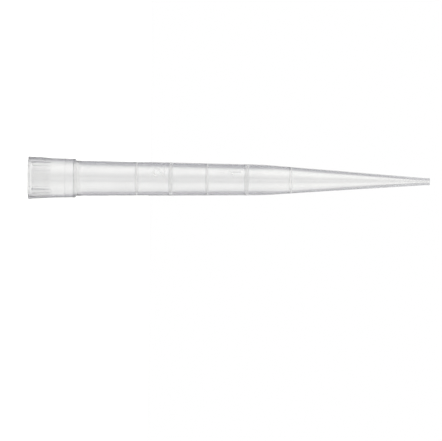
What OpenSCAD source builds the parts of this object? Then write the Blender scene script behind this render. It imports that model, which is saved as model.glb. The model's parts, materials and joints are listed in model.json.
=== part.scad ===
// Graduated pipette tip, moulded in one piece. It stands on its rim, centred on
// the Z axis, with the tapered end up. The front, where the numerals are, is -Y.

/* [Overall] */
// Length, from the rim to the tapered end
length = 115; // [112:0.5:118]

/* [Collar] */
// Height of the collar, from the rim to the shoulder
collar_h = 13.6; // [12:0.1:16]
// Outer diameter of the plain collar, carried on down to the rim
collar_rim_d = 11.8; // [11.7:0.05:11.95]
// Outer diameter of the collar at the shoulder
collar_top_d = 11.15; // [11:0.05:11.4]
// Rounding of the shoulder's outer edge and of its foot
shoulder_round = 0.12; // [0.08:0.01:0.15]

/* [Rim and ribs] */
// Outer diameter of the rim
rim_d = 12.2; // [12.15:0.05:12.5]
// Height of the rim's plain ring
rim_h = 0.95; // [0.6:0.05:1.5]
// Rounding of the rim's outer edge
rim_round = 0.2; // [0.1:0.05:0.3]
// Number of ribs round the collar
rib_count = 12; // [6:1:14]
// Radius of a rib's round back
rib_r = 1; // [0.7:0.05:1.2]
// Height of the ribs' ends above the rim
rib_h = 6.9; // [5:0.1:8.5]
// Outer diameter of the line of the ribs' backs, carried on up to the height of their ends
rib_end_d = 11.7; // [11.65:0.05:11.9]
// Length over which a rib's end runs out into the collar
rib_run_out = 1.9; // [1:0.1:3]
// Angle from the front to the first rib, about the axis
rib_turn = 7.5; // [0:0.5:30]

/* [Tube] */
// Outer diameter of the tube at the shoulder
tube_d = 10.24; // [10.1:0.02:10.4]
// Height above the rim at which the tube gives way to the taper
knee_h = 67.1; // [62:0.1:72]
// Outer diameter at that height
knee_d = 8.77; // [8.6:0.01:8.9]
// Radius of the bend between the tube and the taper
knee_round = 90; // [40:5:120]
// Thickness of the tube's wall
tube_wall = 0.775; // [0.7:0.025:0.85]

/* [Taper] */
// Outer diameter of the straight end
end_d = 2; // [1.8:0.05:2.2]
// Length of the straight end
end_h = 1.4; // [1:0.1:3]
// Rounding of the edge of the straight end
end_round = 0.12; // [0.05:0.01:0.2]
// Thickness of the taper's wall
taper_wall = 0.525; // [0.45:0.025:0.6]
// Diameter of the hole at the end
orifice_d = 1; // [0.8:0.05:1.1]

/* [Socket] */
// Diameter of the sealing land, which grips the nose of the pipette
land_d = 9.9; // [9.7:0.05:10]
// Length of the sealing land
land_h = 2; // [1.5:0.1:3]
// Distance from the sealing land up to the shoulder
land_depth = 1; // [0.8:0.05:1.5]
// Length of the slope from the sealing land to the bore of the tube
slope_h = 2.6; // [1.5:0.1:3]
// Rounding where that slope meets the bore of the tube
slope_round = 8; // [2:0.5:8]
// Diameter of the socket just below the sealing land
socket_top_d = 10.1; // [10.05:0.05:10.2]
// Diameter of the socket just inside its mouth
socket_rim_d = 10.5; // [10.3:0.05:10.6]
// Diameter of the flared mouth
mouth_d = 10.9; // [10.7:0.05:11]
// Depth of the flare
mouth_h = 0.9; // [0.5:0.1:1.5]

/* [Graduations] */
// Number of rings, one for each half millilitre
ring_count = 5; // [1:1:5]
// Width of a half-millilitre ring
ring_w = 0.45; // [0.3:0.05:0.6]
// Width of a numbered ring, at each whole millilitre
numbered_w = 0.9; // [0.6:0.05:1.2]
// Height of the rings and numerals above the wall
mark_relief = 0.03; // [0.02:0.01:0.1]
// Height of a numeral
numeral_h = 3.6; // [3:0.1:4.5]
// Width of a numeral
numeral_w = 2.5; // [2.2:0.1:3.4]
// Width of a numeral's strokes
stroke_w = 0.5; // [0.3:0.05:0.6]
// Gap between a numeral's foot and its ring
numeral_gap = 1.15; // [0.6:0.05:2]
// Angle from the front to the numerals, about the axis
numeral_turn = -23; // [-90:0.5:90]

/* [Hidden] */
$fn = 96;

// Steps in a rounded corner of an outline
round_steps = 4;
// Depth to which ribs, rings and numerals are rooted in the wall
root = 0.25;
// Overrun of the bore past the open ends, and of a rib's end under the collar
overrun = 1;
// Volume between rings, in cubic millimetres
ring_volume = 500;
// Halvings in the search for a ring's height
search_steps = 24;
// Arc of the numeral 2, in degrees from its right side, and the steps along it
two_from = 170;
two_to = -55;
two_steps = 10;
// Width of the flag of the numeral 1, and how far it falls from the top
flag_w = 0.4 * numeral_w;
flag_fall = 0.25 * numeral_h;

// Heights that follow from the sizes above
end_z = length - end_h;
land_top = collar_h - land_depth;
land_foot = land_top - land_h;
slope_top = land_top + slope_h;

// Radius at height z on the straight line from (r0, z0) to (r1, z1)
function line_r(z, r0, z0, r1, z1) = r0 + (r1 - r0) * (z - z0) / (z1 - z0);

// Outer radii of the collar, the tube and the taper at height z
function collar_r(z) = line_r(z, collar_rim_d / 2, 0, collar_top_d / 2, collar_h);
function tube_r(z) = line_r(z, tube_d / 2, collar_h, knee_d / 2, knee_h);
function taper_r(z) = line_r(z, knee_d / 2, knee_h, end_d / 2, end_z);
function wall_r(z) = min(tube_r(z), taper_r(z));

// Radius of the bore above the socket: each wall is of one thickness, so the
// bore bends where its two lines cross, and it ends in the orifice
function bore_r(z) = max(min(tube_r(z) - tube_wall, taper_r(z) - taper_wall), orifice_d / 2);

// Slopes of the tube and the taper, and the heights at which the bore bends
tube_slope = tube_r(1) - tube_r(0);
taper_slope = taper_r(1) - taper_r(0);
bore_knee_z = (taper_r(0) - taper_wall - tube_r(0) + tube_wall) / (tube_slope - taper_slope);
orifice_z = (orifice_d / 2 + taper_wall - taper_r(0)) / taper_slope;

// Volume of a cone's slice, and of the bore from height z to the tapered end
function slice_volume(r0, r1, h) = PI * h * (r0 * r0 + r0 * r1 + r1 * r1) / 3;
function volume_above(z) =
    slice_volume(bore_r(z), bore_r(bore_knee_z), max(bore_knee_z - z, 0))
    + slice_volume(bore_r(max(z, bore_knee_z)), orifice_d / 2, orifice_z - max(z, bore_knee_z))
    + slice_volume(orifice_d / 2, orifice_d / 2, length - orifice_z);

// Height that the given volume reaches with the tip filled from its tapered end
function fill_height(volume, low = slope_top, high = orifice_z, steps = search_steps) =
    let (middle = (low + high) / 2)
    steps == 0 ? middle
    : volume_above(middle) > volume ? fill_height(volume, middle, high, steps - 1)
    : fill_height(volume, low, middle, steps - 1);

function unit(v) = v / norm(v);
function across(v) = [-v.y, v.x];

// Points of an arc of the given radius that rounds a corner between its neighbours
function rounded(before, corner, after, radius) =
    let (
        u = unit(before - corner),
        v = unit(after - corner),
        half = acos(u * v) / 2,
        centre = corner + unit(u + v) * radius / sin(half),
        start = corner + u * radius / tan(half) - centre,
        side = across(start) * (v - u) > 0 ? 1 : -1
    )
    [for (i = [0 : round_steps])
        let (a = side * i * (180 - 2 * half) / round_steps)
        centre + start * cos(a) + across(start) * sin(a)];

// Outline through [radius, height, rounding] corners
function outline(corners) =
    let (count = len(corners), at = [for (c = corners) [c[0], c[1]]])
    [for (i = [0 : count - 1]) each
        corners[i][2] > 0
            ? rounded(at[(i + count - 1) % count], at[i], at[(i + 1) % count], corners[i][2])
            : [at[i]]];

// Turned solid with the given outline
module turned(corners) {
    rotate_extrude() polygon(outline(corners));
}

// Stands a flat drawing up on the tube's front: its top points down to the rim
module on_front() {
    rotate([-90, 0, 180]) linear_extrude(rim_d) children();
}

// Outer form without its ribs and marks
module wall() {
    foot = rim_h / 2;
    turned([
        [0, foot, 0],
        [collar_r(foot), foot, 0],
        [collar_top_d / 2, collar_h, shoulder_round],
        [tube_d / 2, collar_h, shoulder_round],
        [knee_d / 2, knee_h, knee_round],
        [end_d / 2, end_z, 0],
        [end_d / 2, length, end_round],
        [0, length, 0]
    ]);
}

// Rim ring and ribs
module ribbed_rim() {
    turned([
        [0, 0, 0],
        [rim_d / 2, 0, rim_round],
        [rim_d / 2, rim_h, 0],
        [0, rim_h, 0]
    ]);
    for (i = [0 : rib_count - 1])
        rotate([0, 0, rib_turn + i * 360 / rib_count]) rib();
}

// One rib at the front: a round bar that leans in with the collar, with a tapered end
module rib() {
    lean = atan((rim_d - rib_end_d) / 2 / rib_h);
    thinning = (rib_end_d / 2 - collar_r(rib_h)) / rib_run_out;
    translate([0, rib_r - rim_d / 2, 0]) rotate([-lean, 0, 0]) turned([
        [0, rim_h / 2, 0],
        [rib_r, rim_h / 2, 0],
        [rib_r, rib_h - rib_run_out, 0],
        [rib_r - thinning * (rib_run_out + overrun), rib_h + overrun, 0],
        [0, rib_h + overrun, 0]
    ]);
}

// Raised band of the wall between two heights
module band(low, high) {
    turned([
        [wall_r(low) - root, low, 0],
        [wall_r(low) + mark_relief, low, 0],
        [wall_r(high) + mark_relief, high, 0],
        [wall_r(high) - root, high, 0]
    ]);
}

// Rings, with a numeral below each whole millilitre
module graduations() {
    for (i = [1 : ring_count]) {
        z = fill_height(i * ring_volume);
        millilitres = i * ring_volume / 1000;
        w = millilitres == floor(millilitres) ? numbered_w : ring_w;
        band(z - w / 2, z + w / 2);
        if (w == numbered_w) numeral(millilitres, z - w / 2 - numeral_gap);
    }
}

// Numeral on the wall, with its foot at height z and its top towards the rim
module numeral(value, z) {
    intersection() {
        band(z - numeral_h - root, z + root);
        rotate([0, 0, numeral_turn]) translate([0, 0, z]) on_front() {
            if (value == 1) one();
            if (value == 2) two();
        }
    }
}

// Straight and curved strokes through a path's points
function offset_side(path, half) =
    [for (i = [0 : len(path) - 1])
        let (
            before = unit(path[max(i, 1)] - path[max(i, 1) - 1]),
            after = unit(path[min(i + 1, len(path) - 1)] - path[min(i, len(path) - 2)]),
            out = unit(across(before + after))
        )
        path[i] + out * half / (out * across(before))];

module stroke(path) {
    left = offset_side(path, stroke_w / 2);
    right = offset_side(path, -stroke_w / 2);
    polygon([each left, for (i = [len(right) - 1 : -1 : 0]) right[i]]);
}

module one() {
    top = numeral_h - stroke_w / 2;
    stroke([[flag_w / 2, 0], [flag_w / 2, numeral_h]]);
    stroke([[-flag_w / 2, top - flag_fall], [flag_w / 2, top]]);
}

module two() {
    r = (numeral_w - stroke_w) / 2;
    foot = stroke_w / 2;
    centre = [0, numeral_h - stroke_w / 2 - r];
    arc = [for (i = [0 : two_steps])
        let (a = two_from + (two_to - two_from) * i / two_steps)
        centre + r * [cos(a), sin(a)]];
    stroke([each arc, [-r, foot]]);
    stroke([[-numeral_w / 2, foot], [numeral_w / 2, foot]]);
}

// Socket, bore and orifice, open at both ends
module bore() {
    flare = (mouth_d - socket_rim_d) / 2 / mouth_h;
    turned([
        [0, -overrun, 0],
        [mouth_d / 2 + flare * overrun, -overrun, 0],
        [socket_rim_d / 2, mouth_h, 0],
        [socket_top_d / 2, land_foot, 0],
        [land_d / 2, land_foot, 0],
        [land_d / 2, land_top, 0],
        [bore_r(slope_top), slope_top, slope_round],
        [bore_r(bore_knee_z), bore_knee_z, 0],
        [orifice_d / 2, orifice_z, 0],
        [orifice_d / 2, length + overrun, 0],
        [0, length + overrun, 0]
    ]);
}

module pipette_tip() {
    color([0.93, 0.94, 0.94, 0.6])
        difference() {
            union() {
                wall();
                ribbed_rim();
                graduations();
            }
            bore();
        }
}

pipette_tip();
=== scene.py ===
# Graduated pipette tip: the moulded piece, its finish and the stage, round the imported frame.
import json
import math
from typing import NamedTuple

import bpy
from bpy.props import FloatProperty, FloatVectorProperty, IntProperty, PointerProperty
from bpy.types import Operator, Panel, PropertyGroup
from mathutils import Matrix, Vector


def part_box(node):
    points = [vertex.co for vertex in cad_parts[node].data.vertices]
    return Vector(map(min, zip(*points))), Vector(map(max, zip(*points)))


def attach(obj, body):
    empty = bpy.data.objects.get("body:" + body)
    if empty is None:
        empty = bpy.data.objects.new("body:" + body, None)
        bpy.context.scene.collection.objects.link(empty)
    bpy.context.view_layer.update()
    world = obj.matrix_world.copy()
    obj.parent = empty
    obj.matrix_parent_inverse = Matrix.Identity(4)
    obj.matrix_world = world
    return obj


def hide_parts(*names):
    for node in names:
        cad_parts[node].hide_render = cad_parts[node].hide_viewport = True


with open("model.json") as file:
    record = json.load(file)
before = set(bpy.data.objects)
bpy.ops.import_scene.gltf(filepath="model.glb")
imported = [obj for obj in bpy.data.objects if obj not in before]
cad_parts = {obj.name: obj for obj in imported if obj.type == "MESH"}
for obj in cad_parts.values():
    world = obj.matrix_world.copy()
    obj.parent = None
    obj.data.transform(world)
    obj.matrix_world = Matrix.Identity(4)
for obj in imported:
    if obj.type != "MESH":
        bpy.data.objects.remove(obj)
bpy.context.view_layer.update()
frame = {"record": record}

bl_info = {
    "name": "Pipette tip",
    "version": (1, 0, 0),
    "blender": (4, 5, 0),
    "location": "View3D > Sidebar > Pipette tip",
    "description": "Builds a graduated pipette tip and the stage it stands on",
    "category": "Add Mesh",
}

MM = 0.001
CAD_NODE = "pipette_tip"
NODE_LOW, NODE_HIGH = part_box(CAD_NODE)
MOUNTS = {mount["name"]: mount for mount in frame["record"]["mounts"]}


def size(name, default, description):
    """A length in metres that shows in scene units."""
    return FloatProperty(
        name=name, description=description, default=default, unit="LENGTH",
        subtype="DISTANCE", precision=5,
    )


def share(name, default, description):
    """A number between 0 and 1."""
    return FloatProperty(
        name=name, description=description, default=default, min=0.0, max=1.0, subtype="FACTOR",
    )


def angle(name, default, description):
    """An angle, with its default given in degrees."""
    return FloatProperty(
        name=name, description=description, default=math.radians(default), unit="ROTATION",
        subtype="ANGLE",
    )


def tone(name, default, description):
    """A colour without alpha."""
    return FloatVectorProperty(
        name=name, description=description, subtype="COLOR", size=3, min=0.0, max=1.0,
        default=default,
    )


class TipSizes(PropertyGroup):
    """Sizes of the moulded tip, which stands on its rim with the tapered end up."""

    length: size("Length", NODE_HIGH[2], "From the rim to the tapered end")
    collar_h: size("Collar height", MOUNTS["rack_shoulder"]["pos_m"][2],
                   "From the rim to the shoulder")
    collar_rim_d: size("Collar diameter at the rim", 11.8 * MM,
                       "Plain collar, carried on down to the rim")
    collar_top_d: size("Collar diameter at the shoulder", 11.15 * MM, "Below the shoulder's edge")
    shoulder_round: size("Shoulder rounding", 0.12 * MM, "Edge and foot of the shoulder")
    rim_d: size("Rim diameter", -2 * NODE_LOW[0], "Over the rim's plain ring")
    rim_h: size("Rim height", 0.95 * MM, "Of the rim's plain ring")
    rim_round: size("Rim rounding", 0.2 * MM, "Outer edge of the rim")
    rib_count: IntProperty(name="Ribs", description="Number of ribs round the collar",
                           default=12, min=1)
    rib_r: size("Rib radius", 1.0 * MM, "Of a rib's round back")
    rib_h: size("Rib height", 6.9 * MM, "From the rim to a rib's end")
    rib_end_d: size("Diameter over the rib ends", 11.7 * MM,
                    "Line of the ribs' backs, carried on up to the height of their ends")
    rib_run_out: size("Rib run-out", 1.9 * MM, "Length over which a rib's end runs out")
    rib_turn: angle("Rib turn", 7.5, "From the front to the first rib")
    rim_step: size("Rim step", 0.14 * MM, "Height over which the rim's ring falls to the collar")
    tube_d: size("Tube diameter", 10.24 * MM, "At the shoulder")
    knee_h: size("Knee height", 67.1 * MM, "Where the tube gives way to the taper")
    knee_d: size("Knee diameter", 8.77 * MM, "At the knee")
    knee_round: size("Knee radius", 90.0 * MM, "Bend between the tube and the taper")
    tube_wall: size("Tube wall", 0.775 * MM, "Thickness of the tube's wall")
    end_d: size("End diameter", 2.0 * MM, "Straight end of the taper")
    end_h: size("End length", 1.4 * MM, "Straight end of the taper")
    end_round: size("End rounding", 0.12 * MM, "Edge of the straight end")
    taper_wall: size("Taper wall", 0.525 * MM, "Thickness of the taper's wall")
    orifice_d: size("Orifice diameter", 1.0 * MM, "Hole at the tapered end")
    land_d: size("Land diameter", 2.0 * MM * MOUNTS["socket"]["dims"]["r_mm"],
                 "Sealing land in the socket")
    land_h: size("Land length", 2.0 * MM, "Sealing land in the socket")
    land_depth: size("Land depth", 1.0 * MM, "From the sealing land up to the shoulder")
    slope_h: size("Slope length", 2.6 * MM, "From the sealing land to the bore of the tube")
    slope_round: size("Slope rounding", 8.0 * MM, "Where the slope meets the bore of the tube")
    socket_top_d: size("Socket diameter at the land", 10.1 * MM, "Just below the sealing land")
    socket_rim_d: size("Socket diameter at the rim", 10.5 * MM, "Just inside the mouth")
    mouth_d: size("Mouth diameter", 10.9 * MM, "Flared mouth")
    mouth_h: size("Mouth depth", 0.9 * MM, "Depth of the flare")
    ring_w: size("Ring width", 0.45 * MM, "Half-millilitre rings")
    numbered_w: size("Numbered ring width", 0.9 * MM, "Rings at each whole millilitre")
    mark_relief: size("Mark relief", 0.03 * MM, "Height of rings and numerals above the wall")
    mark_edge: size("Mark edge", 0.08 * MM, "Width over which a mark's side falls")
    numeral_h: size("Numeral height", 3.6 * MM, "From foot to top")
    numeral_w: size("Numeral width", 2.5 * MM, "Of the widest numeral")
    stroke_w: size("Stroke width", 0.5 * MM, "Of the numerals")
    numeral_gap: size("Numeral gap", 1.15 * MM, "Between a numeral's foot and its ring")
    numeral_turn: angle("Numeral turn", -23.0, "From the front to the numerals")
    columns: IntProperty(name="Columns", description="Faces round the wall", default=288, min=24)


class TipFinish(PropertyGroup):
    """Finish of the translucent polypropylene."""

    tint: tone("Tint", (0.99, 0.99, 0.985), "Colour of the clear plastic")
    milk: tone("Milk", (0.97, 0.97, 0.965), "Colour of the light that the plastic scatters")
    depth_tint: tone("Depth tint", (0.04, 0.04, 0.26), "Colour that a thick part keeps")
    absorption: FloatProperty(
        name="Absorption", description="Share of light lost in a metre of plastic, for small paths",
        default=52.0, min=0.0,
    )
    gloss_roughness: share("Gloss roughness", 0.08, "Roughness of the polished wall")
    mark_roughness: share("Mark roughness", 0.15, "Roughness of the matt rings and numerals")
    cloud_roughness: share("Cloud roughness", 0.05, "Added to the roughness where the wall is dull")
    haze: share("Haze", 0.02, "Share of light that the polished wall scatters")
    mark_haze: share("Mark haze", 0.45, "Share of light that a matt mark scatters")
    streak: size("Streak depth", 0.003 * MM, "Of the faint waviness along the wall")
    grain: size("Grain depth", 0.0006 * MM, "Of the fine grain of the wall")
    mark_grain: size("Mark grain depth", 0.0015 * MM, "Of the matt marks' grain")


class StageSettings(PropertyGroup):
    """Camera, floor and light."""

    distance: size("Camera distance", 0.9, "From the camera to the axis")
    field: size("Field", 126.75 * MM, "Width of the view at the axis")
    roll: angle("Roll", 0.566, "How far the tip's axis falls from level in the picture")
    aim_side: size("Aim to the side", 11.72 * MM, "From the axis to the middle of the view")
    aim_height: size("Aim height", 55.28 * MM, "From the rim to the middle of the view")
    floor_radius: size("Floor radius", 1.5, "Of the pale floor")


# --- Node trees as Python expressions ---


class Value:
    """A node's output in a Python expression: each operator adds the Math node it stands for."""

    def __init__(self, tree, socket):
        self.tree, self.socket = tree, socket

    def __add__(self, other):
        return self.tree.math("ADD", self, other)

    def __sub__(self, other):
        return self.tree.math("SUBTRACT", self, other)

    def __rsub__(self, other):
        return self.tree.math("SUBTRACT", other, self)

    def __mul__(self, other):
        return self.tree.math("MULTIPLY", self, other)

    def __truediv__(self, other):
        return self.tree.math("DIVIDE", self, other)

    def __rtruediv__(self, other):
        return self.tree.math("DIVIDE", other, self)

    def __neg__(self):
        return self.tree.math("MULTIPLY", self, -1.0)

    __radd__, __rmul__ = __add__, __mul__


class Tree:
    """A node tree being built, for a material, a world or Geometry Nodes."""

    def __init__(self, tree):
        self.tree = tree
        tree.nodes.clear()

    def node(self, kind, settings=None, inputs=None):
        """A new node: its settings are set first, then the values or links of its inputs."""
        made = self.tree.nodes.new(kind)
        for name, value in (settings or {}).items():
            setattr(made, name, value)
        for name, value in (inputs or {}).items():
            socket = made.inputs[name] if isinstance(name, int) else self.input(made, name)
            if isinstance(value, Value):
                self.tree.links.new(value.socket, socket)
            else:
                socket.default_value = value
        return made

    def out(self, kind, settings=None, inputs=None, output=None):
        """One output of a new node, for use in an expression."""
        made = self.node(kind, settings, inputs)
        live = [s for s in made.outputs if s.enabled]
        found = live[0] if output is None else next(s for s in live if s.name == output)
        return Value(self, found)

    def math(self, operation, *values):
        """A Math node on values, links or numbers."""
        return self.out("ShaderNodeMath", {"operation": operation}, dict(enumerate(values)))

    def smooth(self, value, low, high, to_low=0.0, to_high=1.0):
        """A smooth step from one value to another as the value goes from low to high."""
        return self.out(
            "ShaderNodeMapRange", {"interpolation_type": "SMOOTHSTEP"},
            {"Value": value, "From Min": low, "From Max": high, "To Min": to_low,
             "To Max": to_high},
        )

    @staticmethod
    def input(node, name):
        """The input of that name that the node's settings have switched on."""
        return next(s for s in node.inputs if s.enabled and s.name == name)


# --- The moulded tip ---


# Halvings in the search for a ring's height
SEARCH_STEPS = 40


def line_at(z, r0, z0, r1, z1):
    """Radius at height z on the straight line through two points."""
    return r0 + (r1 - r0) * (z - z0) / (z1 - z0)


class Wall:
    """Radii and heights that follow from the tip's sizes, in metres."""

    def __init__(self, sizes):
        self.s = sizes
        self.end_z = sizes.length - sizes.end_h
        self.land_top = sizes.collar_h - sizes.land_depth
        self.land_foot = self.land_top - sizes.land_h
        self.slope_top = self.land_top + sizes.slope_h
        self.tube_slope = self.tube_r(1.0) - self.tube_r(0.0)
        self.taper_slope = self.taper_r(1.0) - self.taper_r(0.0)
        fall = self.tube_slope - self.taper_slope
        self.bore_knee_z = (
            self.taper_r(0.0) - sizes.taper_wall - self.tube_r(0.0) + sizes.tube_wall
        ) / fall
        self.orifice_z = (
            sizes.orifice_d / 2 + sizes.taper_wall - self.taper_r(0.0)
        ) / self.taper_slope
        self.knee_reach = sizes.knee_round * math.atan(fall) / 2

    def rib_lift(self, z):
        """Height of the ribs' backs above the collar, falling to 0 over their run-out."""
        s = self.s
        back = line_at(z, s.rim_d / 2, 0.0, s.rib_end_d / 2, s.rib_h)
        thinning = (s.rib_end_d / 2 - self.collar_r(s.rib_h)) / s.rib_run_out
        return back - self.collar_r(z) - thinning * max(z - s.rib_h + s.rib_run_out, 0.0)

    def collar_r(self, z):
        """Radius of the plain collar."""
        return line_at(z, self.s.collar_rim_d / 2, 0.0, self.s.collar_top_d / 2, self.s.collar_h)

    def tube_r(self, z):
        """Outer radius of the tube, without its bend."""
        return line_at(z, self.s.tube_d / 2, self.s.collar_h, self.s.knee_d / 2, self.s.knee_h)

    def taper_r(self, z):
        """Outer radius of the taper, without its bend."""
        return line_at(z, self.s.knee_d / 2, self.s.knee_h, self.s.end_d / 2, self.end_z)

    def bent(self, z, knee_z, tube_r, taper_r):
        """Radius of two lines that meet at the knee in a soft bend."""
        into = z - knee_z + self.knee_reach
        if into <= 0.0:
            return tube_r(z)
        if into >= 2 * self.knee_reach:
            return taper_r(z)
        fall = self.tube_slope - self.taper_slope
        return tube_r(z) - fall * into * into / (4 * self.knee_reach)

    def outer_r(self, z):
        """Outer radius of the tube and the taper, with the soft bend between them."""
        return self.bent(z, self.s.knee_h, self.tube_r, self.taper_r)

    def bore_r(self, z):
        """Radius of the bore above the socket and below the orifice, with its soft bend."""
        return self.bent(
            z, self.bore_knee_z, lambda h: self.tube_r(h) - self.s.tube_wall,
            lambda h: self.taper_r(h) - self.s.taper_wall,
        )

    def straight_bore_r(self, z):
        """Radius of the bore with a sharp bend, down to the orifice's."""
        return max(
            min(self.tube_r(z) - self.s.tube_wall, self.taper_r(z) - self.s.taper_wall),
            self.s.orifice_d / 2,
        )

    def volume_above(self, z):
        """Volume of the bore from height z to the tapered end."""

        def slice_volume(z0, z1):
            r0, r1 = self.straight_bore_r(z0), self.straight_bore_r(z1)
            return math.pi * (z1 - z0) * (r0 * r0 + r0 * r1 + r1 * r1) / 3

        marks = [z] + [h for h in (self.bore_knee_z, self.orifice_z) if h > z] + [self.s.length]
        return sum(slice_volume(low, high) for low, high in zip(marks, marks[1:]))

    def fill_height(self, volume):
        """Height that a volume reaches with the tip filled from its tapered end."""
        low, high = self.slope_top, self.orifice_z
        for _ in range(SEARCH_STEPS):
            middle = (low + high) / 2
            if self.volume_above(middle) > volume:
                low = middle
            else:
                high = middle
        return (low + high) / 2


# Volume between rings, in cubic metres, and how many of them make a millilitre
RING_VOLUME = 500e-9
RINGS_PER_ML = 2
RING_COUNT = 5


def rings(wall):
    """Centre height, width and whole millilitres of each ring, or 0 between them."""
    made = []
    for i in range(1, RING_COUNT + 1):
        whole = i // RINGS_PER_ML if i % RINGS_PER_ML == 0 else 0
        width = wall.s.numbered_w if whole else wall.s.ring_w
        made.append((wall.fill_height(i * RING_VOLUME), width, whole))
    return made


def foot_below(wall, centre, width):
    """Height of the foot of the numeral that stands below a ring."""
    return centre - width / 2 - wall.s.numeral_gap


def numeral_foot(wall, millilitres):
    """Height of the foot of the numeral for that many millilitres."""
    centre, width, _ = next(r for r in rings(wall) if r[2] == millilitres)
    return foot_below(wall, centre, width)


def rounded(before, corner, after, radius, steps=4):
    """Points of an arc that rounds the corner between its neighbours."""
    before, corner, after = Vector(before), Vector(corner), Vector(after)
    u, v = (before - corner).normalized(), (after - corner).normalized()
    half = u.angle(v) / 2
    centre = corner + (u + v).normalized() * radius / math.sin(half)
    start = corner + u * radius / math.tan(half) - centre
    stop = corner + v * radius / math.tan(half) - centre
    sweep = math.pi - 2 * half
    return [
        tuple(centre + (start * math.sin((1 - t) * sweep) + stop * math.sin(t * sweep))
              / math.sin(sweep))
        for t in (i / steps for i in range(steps + 1))
    ]


# Share of a step that rounding alone may add to a stretch, which then gets no further row
ROUNDING_ERROR = 1e-6


def spread(low, high, step):
    """Even heights from low to high, no more than a step apart."""
    count = max(1, math.ceil(abs(high - low) / step - ROUNDING_ERROR))
    return [low + (high - low) * i / count for i in range(count + 1)]


def soft(t):
    """Smooth step from 0 to 1."""
    return t * t * (3 - 2 * t)


# How matt a ring, the rim, the ribbed collar and the shoulder are, beside a numeral
RING_MARK = 0.8
RIM_MARK = 0.4
GRIP_MARK = 0.18
SHOULDER_MARK = 0.3
# Length of tube over which the shoulder's matt foot fades
SHOULDER_FADE = 1.5 * MM

# Small roundings, from the mouth's lip up the outside and down the bore
MOUTH_ROUND = 0.06 * MM
END_BLEND = 5.0 * MM
ORIFICE_ROUND = 0.05 * MM
SLOPE_FOOT_ROUND = 3.0 * MM
LAND_FOOT_ROUND = 0.03 * MM
FLARE_ROUND = 0.3 * MM
# Steps in a fine rounding and in a wide one
FINE_STEPS = 3
WIDE_STEPS = 5

# Where rows stand along a soft step, as shares of its height
STEP_SHARES = (0.0, 0.3, 0.7, 1.0)
# Widest spacing of the rows along each stretch of the wall
RIB_ROWS = 0.7 * MM
RUN_OUT_ROWS = 0.1 * MM
COLLAR_ROWS = 0.9 * MM
TUBE_ROWS = 1.6 * MM
NUMERAL_ROWS = 0.095 * MM
KNEE_ROWS = 0.7 * MM
TAPER_ROWS = 1.8 * MM
BORE_ROWS = 1.9 * MM
SOCKET_ROWS = 1.3 * MM
# Room left between a stretch of plain rows and a rib's end, a ring, the straight end, the
# orifice, the slope and the ends of the socket
PAST_RIBS = 0.2 * MM
PAST_RING = 0.02 * MM
BEFORE_END = 0.25 * MM
BELOW_ORIFICE = 0.2 * MM
ABOVE_SLOPE = 1.0 * MM
IN_SOCKET = 0.5 * MM


class Row(NamedTuple):
    """One row of the outline. Numerals can be raised on it where its face is 1."""

    wall_radius: float
    wall_height: float
    rib_lift: float = 0.0
    mark: float = 0.0
    face: float = 0.0


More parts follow.
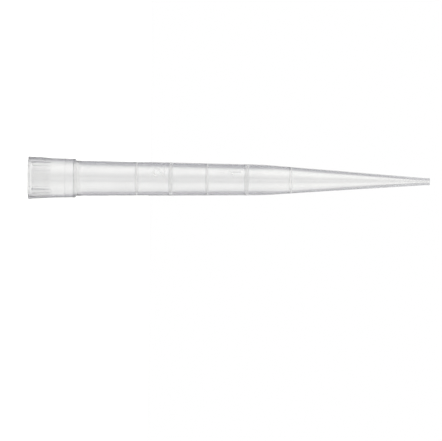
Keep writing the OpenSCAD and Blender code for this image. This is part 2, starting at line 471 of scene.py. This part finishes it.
class Outline:
    """The wall's closed outline: its rows go up the outside and down the bore."""

    def __init__(self, wall):
        self.wall, self.s, self.rows = wall, wall.s, []
        self.mouth_edge = (self.s.mouth_d / 2, 0.0)
        self.mouth_top = (self.s.socket_rim_d / 2, self.s.mouth_h)
        self.rim()
        self.grip()
        self.shoulder()
        self.graduated_wall()
        self.end()
        self.bore()

    def add(self, points, mark=0.0, face=0.0):
        """Rows through (radius, height) points."""
        self.rows.extend(Row(r, z, mark=mark, face=face) for r, z in points)

    def add_outer(self, heights, face=0.0):
        """Rows on the plain outside of the tube and the taper."""
        self.add([(self.wall.outer_r(z), z) for z in heights], face=face)

    def add_ribbed(self, z, ring=0.0):
        """A row across the ribs, where the rim's ring still has a share of its height."""
        s, collar = self.s, self.wall.collar_r(z)
        radius = collar + (s.rim_d / 2 - collar) * ring
        lift = max(self.wall.rib_lift(z) - radius + collar, 0.0)
        self.rows.append(Row(radius, z, lift, GRIP_MARK * min((s.rib_h - z) / s.rib_run_out, 1.0)))

    def add_marked(self, z, raised):
        """A row of a ring or of its side."""
        radius = self.wall.outer_r(z) + self.s.mark_relief * raised
        self.rows.append(Row(radius, z, mark=RING_MARK * raised))

    def rim(self):
        """Lip of the mouth, rounded edge of the rim and its plain ring."""
        s = self.s
        edge, ring_top = (s.rim_d / 2, 0.0), (s.rim_d / 2, s.rim_h)
        self.add(rounded(self.mouth_top, self.mouth_edge, edge, MOUTH_ROUND, FINE_STEPS))
        self.add(rounded(self.mouth_edge, edge, ring_top, s.rim_round, WIDE_STEPS), RIM_MARK)
        self.add([(s.rim_d / 2, s.rim_h - s.rim_step)], GRIP_MARK)

    def grip(self):
        """Step from the rim's ring down to the collar, and the ribs up to their ends."""
        s = self.s
        run_out = s.rib_h - s.rib_run_out
        for t in STEP_SHARES:
            self.add_ribbed(s.rim_h + (t - 0.5) * s.rim_step, 1 - soft(t))
        for z in spread(s.rim_h + s.rim_step, run_out, RIB_ROWS):
            self.add_ribbed(z)
        for z in spread(run_out, s.rib_h, RUN_OUT_ROWS)[1:]:
            self.add_ribbed(z)

    def shoulder(self):
        """Plain collar, and the shoulder with its edge and foot."""
        s, wall = self.s, self.wall
        plain = spread(s.rib_h + PAST_RIBS, s.collar_h - 2 * s.shoulder_round, COLLAR_ROWS)
        self.add([(wall.collar_r(z), z) for z in plain])
        top = s.collar_h + 2 * s.shoulder_round
        below, above = (wall.collar_r(plain[-1]), plain[-1]), (wall.outer_r(top), top)
        edge, foot = (s.collar_top_d / 2, s.collar_h), (s.tube_d / 2, s.collar_h)
        self.add(rounded(below, edge, foot, s.shoulder_round), SHOULDER_MARK)
        self.add(rounded(edge, foot, above, s.shoulder_round), SHOULDER_MARK)
        self.add([above], 2 * SHOULDER_MARK)

    def graduated_wall(self):
        """Tube and taper, with the rings and closer rows under the numerals."""
        s, wall = self.s, self.wall
        zones = []
        for centre, width, whole in sorted(rings(wall)):
            if whole:
                foot = foot_below(wall, centre, width)
                top = foot - s.numeral_h
                zones.append((top - 2 * s.mark_edge, foot + 2 * s.mark_edge, False))
            zones.append((centre - width / 2, centre + width / 2, True))
        z = s.collar_h + 2 * s.shoulder_round + SHOULDER_FADE
        for low, high, is_ring in zones:
            side = s.mark_edge if is_ring else 0.0
            self.add_outer(spread(z, low - side / 2, TUBE_ROWS)[:-1])
            if is_ring:
                for t in STEP_SHARES:
                    self.add_marked(low + (t - 0.5) * side, soft(t))
                for t in STEP_SHARES:
                    self.add_marked(high + (t - 0.5) * side, soft(1 - t))
            else:
                self.add_outer(spread(low, high, NUMERAL_ROWS)[:-1], face=1.0)
            z = high + side / 2 + (PAST_RING if is_ring else 0.0)
        knee_top = s.knee_h + wall.knee_reach
        if z < knee_top:
            self.add_outer(spread(z, knee_top, KNEE_ROWS)[:-1])
            z = knee_top
        self.add_outer(spread(z, wall.end_z - BEFORE_END, TAPER_ROWS))

    def end(self):
        """Straight end, its rounded edge and the orifice."""
        s, wall = self.s, self.wall
        end, hole, before = s.end_d / 2, s.orifice_d / 2, wall.end_z - MM
        self.add(rounded((wall.outer_r(before), before), (end, wall.end_z), (end, s.length),
                         END_BLEND, FINE_STEPS))
        self.add(rounded((end, wall.end_z), (end, s.length), (0.0, s.length), s.end_round))
        self.add(rounded((end, s.length), (hole, s.length), (hole, wall.orifice_z),
                         ORIFICE_ROUND, FINE_STEPS))

    def bore(self):
        """Bore, slope, sealing land and socket, from the orifice down to the mouth."""
        s, wall = self.s, self.wall
        foot = wall.slope_top + ABOVE_SLOPE
        self.add([(wall.bore_r(z), z)
                  for z in spread(wall.orifice_z - BELOW_ORIFICE, foot, BORE_ROWS)])
        above = wall.slope_top + 2 * ABOVE_SLOPE
        socket_top = (s.socket_top_d / 2, wall.land_foot)
        corners = [
            (wall.bore_r(above), above), (wall.bore_r(wall.slope_top), wall.slope_top),
            (s.land_d / 2, wall.land_top), (s.land_d / 2, wall.land_foot), socket_top,
            self.mouth_top, self.mouth_edge,
        ]
        roundings = (s.slope_round, SLOPE_FOOT_ROUND, LAND_FOOT_ROUND, LAND_FOOT_ROUND, FLARE_ROUND)
        arcs = [
            rounded(*corners[i:i + 3], radius, FINE_STEPS if i else WIDE_STEPS)
            for i, radius in enumerate(roundings)
        ]
        for arc in arcs[:-1]:
            self.add(arc)
        heights = spread(socket_top[1] - IN_SOCKET, self.mouth_top[1] + IN_SOCKET, SOCKET_ROWS)
        self.add([(line_at(z, *socket_top, *self.mouth_top), z) for z in heights])
        self.add(arcs[-1])


# Attributes that only the building of the wall needs: the finish reads none of them
BUILDING_ATTRIBUTES = ("wall_radius", "wall_height", "rib_lift", "face", "turn")


def outline_mesh(rows):
    """The outline as a closed line, with each row's values as attributes."""
    mesh = bpy.data.meshes.new("outline")
    count = len(rows)
    mesh.from_pydata(
        [(row.wall_radius, row.wall_height, 0.0) for row in rows],
        [(i, (i + 1) % count) for i in range(count)], [],
    )
    for name, values in zip(Row._fields, zip(*rows)):
        mesh.attributes.new(name, "FLOAT", "POINT").data.foreach_set("value", values)
    return mesh


FLOAT, WHOLE, SOLID, FINISH = (
    "NodeSocketFloat", "NodeSocketInt", "NodeSocketGeometry", "NodeSocketMaterial",
)
WALL_INPUTS = {
    "Outline": SOLID, "Columns": WHOLE, "Rib Columns": FLOAT, "Rib Share": FLOAT,
    "Rib Count": WHOLE, "Rib Radius": FLOAT, "Rib Turn": FLOAT, "Numeral Turn": FLOAT,
    "Foot of 1": FLOAT, "Foot of 2": FLOAT, "Numeral Height": FLOAT, "Numeral Width": FLOAT,
    "Stroke Width": FLOAT, "Mark Relief": FLOAT, "Mark Edge": FLOAT, "Finish": FINISH,
}
# Share of the columns that stand on the ribs
RIB_COLUMNS = 14 / 24
# Radius of the circle that the outline is swept along; each row's own radius then takes over
SWEEP_R = 0.1
# Flag of the 1: its stem's place as a share of the width, and its fall as one of the height
STEM_SIDE = 0.2
FLAG_FALL = 0.25
# Arc of the 2, in degrees from its right side, and the steps along it
TWO_FROM = 170
TWO_TO = -55
TWO_STEPS = 24


def numeral_strokes(tree, given):
    """Centre lines of the numerals 1 and 2, flat, each at its height, with the rim upwards."""
    half_stroke = given["Stroke Width"] / 2

    def point(x, y):
        return tree.out("ShaderNodeCombineXYZ", inputs={"X": x, "Y": y})

    def line(x0, y0, x1, y1):
        return tree.out("GeometryNodeCurvePrimitiveLine", {"mode": "POINTS"},
                        {"Start": point(x0, y0), "End": point(x1, y1)})

    height, width = given["Numeral Height"], given["Numeral Width"]
    foot = half_stroke - given["Foot of 1"]
    top = height - half_stroke - given["Foot of 1"]
    side = width * STEM_SIDE
    one = [
        line(side, foot, side, top),
        line(-side, top - height * FLAG_FALL, side, top),
    ]
    foot = half_stroke - given["Foot of 2"]
    radius = width / 2 - half_stroke
    middle = height - half_stroke - radius - given["Foot of 2"]
    arc = tree.out(
        "GeometryNodeCurveArc", {"mode": "RADIUS"},
        {"Resolution": TWO_STEPS, "Radius": radius, "Start Angle": math.radians(TWO_FROM),
         "Sweep Angle": math.radians(TWO_TO - TWO_FROM)},
        "Curve",
    )
    arc = tree.out("GeometryNodeTransform", inputs={"Geometry": arc,
                                                   "Translation": point(0.0, middle)})
    turn = math.radians(TWO_TO)
    two = [
        arc,
        line(radius * math.cos(turn), middle + radius * math.sin(turn), -radius, foot),
        line(-radius, foot, radius, foot),
    ]
    joined = tree.node("GeometryNodeJoinGeometry")
    for stroke in one + two:
        tree.tree.links.new(stroke.socket, joined.inputs["Geometry"])
    return tree.out("GeometryNodeCurveToMesh", inputs={"Curve": Value(tree, joined.outputs[0])})


def wall_nodes():
    """Geometry Nodes that turn the outline round the axis and raise the ribs and numerals."""
    group = bpy.data.node_groups.new("moulded_wall", "GeometryNodeTree")
    for name, kind in WALL_INPUTS.items():
        group.interface.new_socket(name=name, in_out="INPUT", socket_type=kind)
    group.interface.new_socket(name="Tip", in_out="OUTPUT", socket_type=SOLID)
    tree = Tree(group)
    source = tree.node("NodeGroupInput")
    given = {name: Value(tree, source.outputs[name]) for name in WALL_INPUTS}

    def stored(name):
        return tree.out("GeometryNodeInputNamedAttribute", {"data_type": "FLOAT"}, {"Name": name},
                        "Attribute")

    def store(geometry, name, value):
        return tree.out(
            "GeometryNodeStoreNamedAttribute", {"data_type": "FLOAT", "domain": "POINT"},
            {"Geometry": geometry, "Name": name, "Value": value},
        )

    # the columns crowd together on the ribs
    outline = tree.out("GeometryNodeMeshToCurve", inputs={"Mesh": given["Outline"]})
    circle = tree.out("GeometryNodeCurvePrimitiveCircle", {"mode": "RADIUS"},
                      {"Resolution": given["Columns"], "Radius": SWEEP_R}, "Curve")
    pitches = tree.out("GeometryNodeInputIndex") * given["Rib Count"] / given["Columns"]
    off_rib = tree.math("WRAP", pitches, 0.5, -0.5)
    on_rib = given["Rib Columns"] / 2
    clamped = tree.math("MAXIMUM", tree.math("MINIMUM", off_rib, on_rib), -on_rib)
    between = (1.0 - given["Rib Share"]) / (1.0 - given["Rib Columns"])
    spaced = (pitches - off_rib + off_rib * between
              + clamped * (given["Rib Share"] / given["Rib Columns"] - between))
    circle = store(circle, "turn", given["Rib Turn"] + spaced * math.tau / given["Rib Count"])
    swept = tree.out("GeometryNodeCurveToMesh", inputs={"Curve": circle,
                                                       "Profile Curve": outline})

    radius, height, turn = stored("wall_radius"), stored("wall_height"), stored("turn")
    # round-backed ribs that run out in the collar
    pitch = math.tau / given["Rib Count"]
    from_rib = tree.math("WRAP", turn - given["Rib Turn"], pitch / 2, pitch / -2)
    across = radius * tree.math("SINE", from_rib)
    rib = stored("rib_lift") - across * across / (given["Rib Radius"] * 2.0)
    radius = radius + tree.math("MAXIMUM", rib, 0.0)

    # numerals on the front
    off = turn - given["Numeral Turn"]
    place = tree.out("ShaderNodeCombineXYZ", inputs={"X": -(radius * tree.math("SINE", off)),
                                                     "Y": -height})
    near = tree.out("GeometryNodeProximity", {"target_element": "EDGES"},
                    {0: numeral_strokes(tree, given), "Sample Position": place}, "Distance")
    half_stroke, half_edge = given["Stroke Width"] / 2, given["Mark Edge"] / 2
    numeral = tree.smooth(near, half_stroke - half_edge, half_stroke + half_edge, 1.0, 0.0)
    front = tree.math("GREATER_THAN", tree.math("COSINE", off), 0.0)
    numeral = numeral * front * stored("face")
    radius = radius + numeral * given["Mark Relief"]

    position = tree.out("ShaderNodeCombineXYZ", inputs={
        "X": radius * tree.math("SINE", turn), "Y": -(radius * tree.math("COSINE", turn)),
        "Z": height,
    })
    marked = store(swept, "mark", tree.math("MAXIMUM", stored("mark"), numeral))
    placed = tree.out("GeometryNodeSetPosition", inputs={"Geometry": marked,
                                                        "Position": position})
    outward = tree.out("GeometryNodeFlipFaces", inputs={"Mesh": placed})
    smooth = tree.out("GeometryNodeSetShadeSmooth", inputs={"Geometry": outward})
    whole = tree.out("GeometryNodeRealizeInstances", inputs={"Geometry": smooth})
    finished = tree.out("GeometryNodeSetMaterial", inputs={"Geometry": whole,
                                                          "Material": given["Finish"]})
    tree.node("NodeGroupOutput", inputs={"Tip": finished})
    return group


def set_input(modifier, name, value):
    """Sets a modifier's input by the identifier of the socket with that name."""
    item = next(i for i in modifier.node_group.interface.items_tree
                if i.item_type == "SOCKET" and i.in_out == "INPUT" and i.name == name)
    modifier[item.identifier] = value


def as_plain_mesh(source, name):
    """The evaluated result of an object's modifiers, as an object of its own."""
    depsgraph = bpy.context.evaluated_depsgraph_get()
    mesh = bpy.data.meshes.new_from_object(source.evaluated_get(depsgraph), depsgraph=depsgraph)
    mesh.name = name
    made = bpy.data.objects.new(name, mesh)
    bpy.context.scene.collection.objects.link(made)
    start = source.data
    bpy.data.objects.remove(source)
    bpy.data.meshes.remove(start)
    return made


def signed_volume(mesh):
    """Volume of a closed mesh, which is negative if its faces point inwards."""
    mesh.calc_loop_triangles()
    points = mesh.vertices
    return sum(
        points[a].co.dot(points[b].co.cross(points[c].co))
        for a, b, c in (t.vertices for t in mesh.loop_triangles)
    ) / 6


# Features per metre along X, Y and Z: streaks run along the wall
STREAKS = (900.0, 900.0, 45.0)
CLOUDS = (260.0, 260.0, 120.0)
GRAIN = (4200.0, 4200.0, 4200.0)
# Finer layers that the streaks and clouds have on top, and those that the grain has
SOFT_DETAIL = 2.0
GRAIN_DETAIL = 1.0
# Depth of cloud at which the wall starts to be dull, and at which it is dullest
DULL_FROM = 0.45
DULL_TO = 0.75
REFRACTIVE_INDEX = 1.49
# Share of the scattered light that goes on through the wall
GOES_THROUGH = 0.5


def polypropylene(finish):
    """Translucent polypropylene: a polished, faintly streaked wall with matt marks."""
    material = bpy.data.materials.new("polypropylene")
    material.use_nodes = True
    tree = Tree(material.node_tree)
    place = tree.out("ShaderNodeTexCoord", output="Object")

    def noise(scale, detail):
        at = tree.out("ShaderNodeVectorMath", {"operation": "MULTIPLY"}, {0: place, 1: scale})
        return tree.out("ShaderNodeTexNoise",
                        inputs={"Vector": at, "Scale": 1.0, "Detail": detail}, output="Fac")

    mark = tree.out("ShaderNodeAttribute", {"attribute_name": "mark"}, output="Fac")
    clouds, grain = noise(CLOUDS, SOFT_DETAIL), noise(GRAIN, GRAIN_DETAIL)
    roughness = (
        tree.smooth(clouds, DULL_FROM, DULL_TO, 0.0, finish.cloud_roughness)
        + mark * (finish.mark_roughness - finish.gloss_roughness) + finish.gloss_roughness
    )
    grain_depth = mark * (finish.mark_grain / finish.streak) + finish.grain / finish.streak
    relief = noise(STREAKS, SOFT_DETAIL) + grain * grain_depth
    bumps = tree.out("ShaderNodeBump", inputs={"Distance": finish.streak, "Height": relief})
    plastic = tree.out("ShaderNodeBsdfPrincipled", inputs={
        "Base Color": (*finish.tint, 1.0), "Roughness": roughness, "IOR": REFRACTIVE_INDEX,
        "Transmission Weight": 1.0, "Normal": bumps,
    })
    milk = (*finish.milk, 1.0)
    scattered = tree.out("ShaderNodeMixShader", inputs={
        0: GOES_THROUGH, 1: tree.out("ShaderNodeBsdfDiffuse", inputs={"Color": milk}),
        2: tree.out("ShaderNodeBsdfTranslucent", inputs={"Color": milk}),
    })
    haze = mark * (finish.mark_haze - finish.haze) + clouds * (2 * finish.haze)
    surface = tree.out("ShaderNodeMixShader", inputs={0: haze, 1: plastic, 2: scattered})
    depth = tree.out("ShaderNodeVolumeAbsorption", inputs={
        "Color": (*finish.depth_tint, 1.0), "Density": finish.absorption,
    })
    tree.node("ShaderNodeOutputMaterial", inputs={"Surface": surface, "Volume": depth})
    return material


class PIPETTE_OT_moulded_tip(Operator):
    """Makes the moulded tip from its sizes and puts it in the place of its plain solid"""

    bl_idname = "pipette.moulded_tip"
    bl_label = "Moulded tip"

    def execute(self, context):
        sizes = context.scene.pipette_sizes
        wall = Wall(sizes)
        host = bpy.data.objects.new("outline", outline_mesh(Outline(wall).rows))
        context.scene.collection.objects.link(host)
        modifier = host.modifiers.new("moulded_wall", "NODES")
        modifier.node_group = wall_nodes()
        rib_foot_w = 2 * math.sqrt(2 * sizes.rib_r * wall.rib_lift(sizes.rim_h))
        for name, value in {
            "Columns": sizes.columns, "Rib Columns": RIB_COLUMNS,
            "Rib Share": sizes.rib_count * rib_foot_w / (math.pi * sizes.collar_rim_d),
            "Rib Count": sizes.rib_count, "Rib Radius": sizes.rib_r, "Rib Turn": sizes.rib_turn,
            "Numeral Turn": sizes.numeral_turn,
            "Foot of 1": numeral_foot(wall, 1), "Foot of 2": numeral_foot(wall, 2),
            "Numeral Height": sizes.numeral_h, "Numeral Width": sizes.numeral_w,
            "Stroke Width": sizes.stroke_w, "Mark Relief": sizes.mark_relief,
            "Mark Edge": sizes.mark_edge, "Finish": polypropylene(context.scene.pipette_finish),
        }.items():
            set_input(modifier, name, value)
        tip = as_plain_mesh(host, "moulded_tip")
        for name in BUILDING_ATTRIBUTES:
            tip.data.attributes.remove(tip.data.attributes[name])
        if signed_volume(tip.data) <= 0:
            raise RuntimeError("the moulded tip's faces point inwards")
        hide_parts(CAD_NODE)
        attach(tip, "root")
        return {"FINISHED"}


# --- Stage ---


# Brightness of the ceiling, and the most light that comes from well below the horizon
CEILING = 2.1
LOW_LIGHT = 0.92
# Upward parts of a unit direction between which the ceiling comes in, and then that limit
CEILING_FROM, CEILING_TO = 0.5, 0.8
LIMIT_FROM, LIMIT_TO = -0.1, -0.22
FLOOR_COLOUR = (0.95, 0.95, 0.95, 1.0)
FLOOR_CORNERS = 96
BACKDROP_COLOUR = (1.0, 1.0, 1.0, 1.0)
# In millimetres, as cameras state it
SENSOR_WIDTH = 36.0
# Nearest and furthest that the camera sees, in metres
CLIP_RANGE = (0.01, 20.0)
# Colours of the light from the room's dark parts and from its panels
SHADE_COLOUR = (0.99, 0.99, 1.09, 1.0)
PANEL_COLOUR = (1.0, 1.0, 0.98, 1.0)
# Soft panels in the dark room round the tip: bearing from straight behind it towards +X, half
# width and soft edge in degrees, and brightness
SOFT_PANELS = {
    "backdrop": (0.0, 22.0, 30.0, 0.95),
    "left card": (-59.0, 27.0, 38.0, 0.62),
    "left softbox": (-119.0, 25.0, 40.0, 2.0),
    "right card": (46.5, 14.5, 4.0, 0.64),
    "right softbox": (109.0, 48.0, 4.0, 0.97),
    "front card": (173.0, 12.0, 4.0, 0.5),
}


class PIPETTE_OT_stage(Operator):
    """Makes the pale floor, the soft light and the camera"""

    bl_idname = "pipette.stage"
    bl_label = "Stage"

    def execute(self, context):
        stage = context.scene.pipette_stage
        self.floor(context, stage)
        self.light(context)
        self.camera(context, stage)
        context.scene.view_settings.view_transform = "Standard"
        return {"FINISHED"}

    @staticmethod
    def floor(context, stage):
        mesh = bpy.data.meshes.new("floor")
        turns = [math.tau * i / FLOOR_CORNERS for i in range(FLOOR_CORNERS)]
        mesh.from_pydata(
            [(stage.floor_radius * math.cos(turn), stage.floor_radius * math.sin(turn), 0.0)
             for turn in turns],
            [], [list(range(FLOOR_CORNERS))],
        )
        floor = bpy.data.objects.new("floor", mesh)
        context.scene.collection.objects.link(floor)
        material = bpy.data.materials.new("pale_floor")
        material.use_nodes = True
        tree = Tree(material.node_tree)
        paint = tree.out("ShaderNodeBsdfDiffuse", inputs={"Color": FLOOR_COLOUR})
        tree.node("ShaderNodeOutputMaterial", inputs={"Surface": paint})
        mesh.materials.append(material)
        # the plastic shows the studio behind it, and the floor only takes its shadow
        floor.visible_transmission = floor.visible_glossy = False

    @staticmethod
    def light(context):
        world = bpy.data.worlds.new("studio")
        context.scene.world = world
        world.use_nodes = True
        tree = Tree(world.node_tree)
        toward = tree.node("ShaderNodeSeparateXYZ", inputs={
            "Vector": tree.out("ShaderNodeTexCoord", output="Generated")})
        x, y, z = (Value(tree, toward.outputs[name]) for name in "XYZ")
        bearing = tree.math("ARCTAN2", x, y)
        strength = 0.0
        for centre, half, edge, panel in SOFT_PANELS.values():
            off = tree.math("WRAP", bearing - math.radians(centre), math.pi, -math.pi)
            off = tree.math("ABSOLUTE", off)
            low, high = math.radians(half - edge / 2), math.radians(half + edge / 2)
            strength = tree.smooth(off, low, high, panel, 0.0) + strength
        limited = tree.math("MINIMUM", strength, LOW_LIGHT)
        below = tree.smooth(z, LIMIT_TO, LIMIT_FROM, 1.0, 0.0)
        strength = strength + below * (limited - strength)
        overhead = tree.smooth(z, CEILING_FROM, CEILING_TO)
        strength = strength + overhead * (CEILING - strength)
        seen = tree.out("ShaderNodeLightPath", output="Is Camera Ray")
        colour = tree.out("ShaderNodeMix", {"data_type": "RGBA"},
                          {"Factor": strength, "A": SHADE_COLOUR, "B": PANEL_COLOUR},
                          output="Result")
        room = tree.out("ShaderNodeBackground", inputs={"Color": colour, "Strength": strength})
        backdrop = tree.out("ShaderNodeBackground", inputs={"Color": BACKDROP_COLOUR})
        mixed = tree.out("ShaderNodeMixShader", inputs={0: seen, 1: room, 2: backdrop})
        tree.node("ShaderNodeOutputWorld", inputs={"Surface": mixed})

    @staticmethod
    def camera(context, stage):
        data = bpy.data.cameras.new("camera")
        camera = bpy.data.objects.new("camera", data)
        context.scene.collection.objects.link(camera)
        data.sensor_width = SENSOR_WIDTH
        data.lens = data.sensor_width * stage.distance / stage.field
        data.clip_start, data.clip_end = CLIP_RANGE
        cos, sin = math.cos(stage.roll), math.sin(stage.roll)
        right = Vector((-sin, 0.0, cos))
        up = Vector((-cos, 0.0, -sin))
        back = Vector((0.0, -1.0, 0.0))
        camera.matrix_world = Matrix.Translation(
            (stage.aim_side, -stage.distance, stage.aim_height)
        ) @ Matrix((right, up, back)).transposed().to_4x4()
        context.scene.camera = camera


class PIPETTE_PT_sidebar(Panel):
    """Lists the sizes, the finish and the stage, with the buttons that make them"""

    bl_idname = "PIPETTE_PT_sidebar"
    bl_label = "Pipette tip"
    bl_space_type = "VIEW_3D"
    bl_region_type = "UI"
    bl_category = "Pipette tip"

    def draw(self, context):
        for group, operator in (
            (context.scene.pipette_sizes, PIPETTE_OT_moulded_tip),
            (context.scene.pipette_finish, None),
            (context.scene.pipette_stage, PIPETTE_OT_stage),
        ):
            column = self.layout.column(align=True)
            for name in type(group).__annotations__:
                column.prop(group, name)
            if operator:
                self.layout.operator(operator.bl_idname)


CLASSES = (
    TipSizes, TipFinish, StageSettings, PIPETTE_OT_moulded_tip, PIPETTE_OT_stage,
    PIPETTE_PT_sidebar,
)


def register():
    for cls in CLASSES:
        bpy.utils.register_class(cls)
    bpy.types.Scene.pipette_sizes = PointerProperty(type=TipSizes)
    bpy.types.Scene.pipette_finish = PointerProperty(type=TipFinish)
    bpy.types.Scene.pipette_stage = PointerProperty(type=StageSettings)


def unregister():
    for name in ("pipette_stage", "pipette_finish", "pipette_sizes"):
        delattr(bpy.types.Scene, name)
    for cls in reversed(CLASSES):
        bpy.utils.unregister_class(cls)


def main():
    register()
    bpy.ops.pipette.moulded_tip()
    bpy.ops.pipette.stage()


if __name__ == "__main__":
    main()
